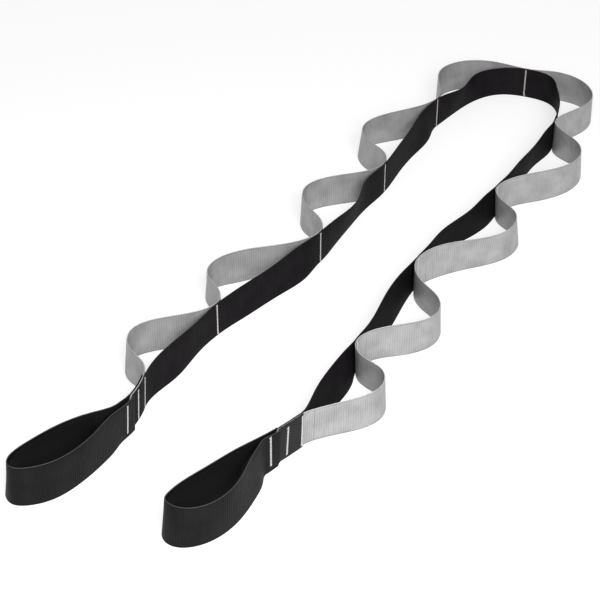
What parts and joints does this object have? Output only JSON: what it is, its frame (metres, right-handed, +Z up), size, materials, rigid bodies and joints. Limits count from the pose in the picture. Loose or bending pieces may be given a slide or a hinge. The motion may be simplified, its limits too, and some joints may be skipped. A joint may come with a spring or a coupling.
{
  "type": "stretching strap",
  "caption": "Long flat webbing strap with a row of sewn hand loops along one side and a padded loop at each end, standing on its edge in a U.",
  "frame": {"origin": "under the middle of the strap as it stands folded into a U, on the plane that its padded loops stand on", "axes": "+Z up, across the webbing's width; +Y from the padded loops to the U's bend; +X to the right arm, seen from the padded loops"},
  "size_m": [0.2542, 0.9255, 0.0445],
  "materials": {
    "base_webbing": "black polyester webbing with fine crosswise ribs",
    "loop_webbing": "light grey polyester webbing with a satin sheen",
    "handle_webbing": "wide black ribbed webbing",
    "padding": "smooth black neoprene, fabric faced",
    "label": "plain black woven label, no text",
    "thread": "light grey polyester thread in dense zigzag rows"
  },
  "bodies": {
    "left_handle": {"left_handle_webbing": "handle_webbing", "left_handle_padding": "padding", "left_base_end": "base_webbing", "left_loop_webbing_end": "loop_webbing", "left_label": "label", "left_hinge_row": "thread", "left_neck_row": "thread", "left_handle_row": "thread"},
    "right_handle": {"right_handle_webbing": "handle_webbing", "right_handle_padding": "padding", "right_base_end": "base_webbing", "right_loop_webbing_end": "loop_webbing", "right_label": "label", "right_hinge_row": "thread", "right_neck_row": "thread", "right_handle_row": "thread"},
    "cell_1": {"base_webbing_1": "base_webbing", "hand_loop_1": "loop_webbing", "tack_row_1": "thread"},
    "cell_2": {"base_webbing_2": "base_webbing", "hand_loop_2": "loop_webbing", "tack_row_2": "thread"},
    "cell_3": {"base_webbing_3": "base_webbing", "hand_loop_3": "loop_webbing", "tack_row_3": "thread"},
    "cell_4": {"base_webbing_4": "base_webbing", "hand_loop_4": "loop_webbing", "tack_row_4": "thread"},
    "cell_5": {"base_webbing_5": "base_webbing", "hand_loop_5": "loop_webbing", "tack_row_5": "thread"},
    "cell_6": {"base_webbing_6": "base_webbing", "hand_loop_6": "loop_webbing", "tack_row_6": "thread"},
    "cell_7": {"base_webbing_7": "base_webbing", "hand_loop_7": "loop_webbing", "tack_row_7": "thread"},
    "cell_8": {"base_webbing_8": "base_webbing", "hand_loop_8": "loop_webbing", "tack_row_8": "thread"},
    "cell_9": {"base_webbing_9": "base_webbing", "hand_loop_9": "loop_webbing", "tack_row_9": "thread"},
    "cell_10": {"base_webbing_10": "base_webbing", "hand_loop_10": "loop_webbing"}
  },
  "joints": [
    {"name": "left_neck_bend", "type": "hinge", "parent": "cell_1", "child": "left_handle", "pos_m": [-0.074, -0.301, 0.02225], "axis": [0, 0, 1], "range_deg": [-45, 40]},
    {"name": "tack_1_bend", "type": "hinge", "parent": "cell_2", "child": "cell_1", "pos_m": [-0.078, -0.167, 0.02225], "axis": [0, 0, 1], "range_deg": [-45, 20]},
    {"name": "tack_2_bend", "type": "hinge", "parent": "cell_3", "child": "cell_2", "pos_m": [-0.052, -0.003, 0.02225], "axis": [0, 0, 1], "range_deg": [-45, 12]},
    {"name": "tack_3_bend", "type": "hinge", "parent": "cell_4", "child": "cell_3", "pos_m": [-0.057, 0.157, 0.02225], "axis": [0, 0, 1], "range_deg": [-45, 8]},
    {"name": "tack_4_bend", "type": "hinge", "parent": "cell_5", "child": "cell_4", "pos_m": [-0.071, 0.325, 0.02225], "axis": [0, 0, 1], "range_deg": [-45, 6]},
    {"name": "tack_5_bend", "type": "hinge", "parent": "cell_5", "child": "cell_6", "pos_m": [-0.008, 0.45, 0.02225], "axis": [0, 0, 1], "range_deg": [-6, 45]},
    {"name": "tack_6_bend", "type": "hinge", "parent": "cell_6", "child": "cell_7", "pos_m": [0.072, 0.343, 0.02225], "axis": [0, 0, 1], "range_deg": [-6, 45]},
    {"name": "tack_7_bend", "type": "hinge", "parent": "cell_7", "child": "cell_8", "pos_m": [0.073, 0.173, 0.02225], "axis": [0, 0, 1], "range_deg": [-8, 45]},
    {"name": "tack_8_bend", "type": "hinge", "parent": "cell_8", "child": "cell_9", "pos_m": [0.058, 0.003, 0.02225], "axis": [0, 0, 1], "range_deg": [-12, 45]},
    {"name": "tack_9_bend", "type": "hinge", "parent": "cell_9", "child": "cell_10", "pos_m": [0.069, -0.152, 0.02225], "axis": [0, 0, 1], "range_deg": [-16, 45]},
    {"name": "right_neck_bend", "type": "hinge", "parent": "cell_10", "child": "right_handle", "pos_m": [0.078, -0.278, 0.02225], "axis": [0, 0, 1], "range_deg": [-40, 45]}
  ]
}
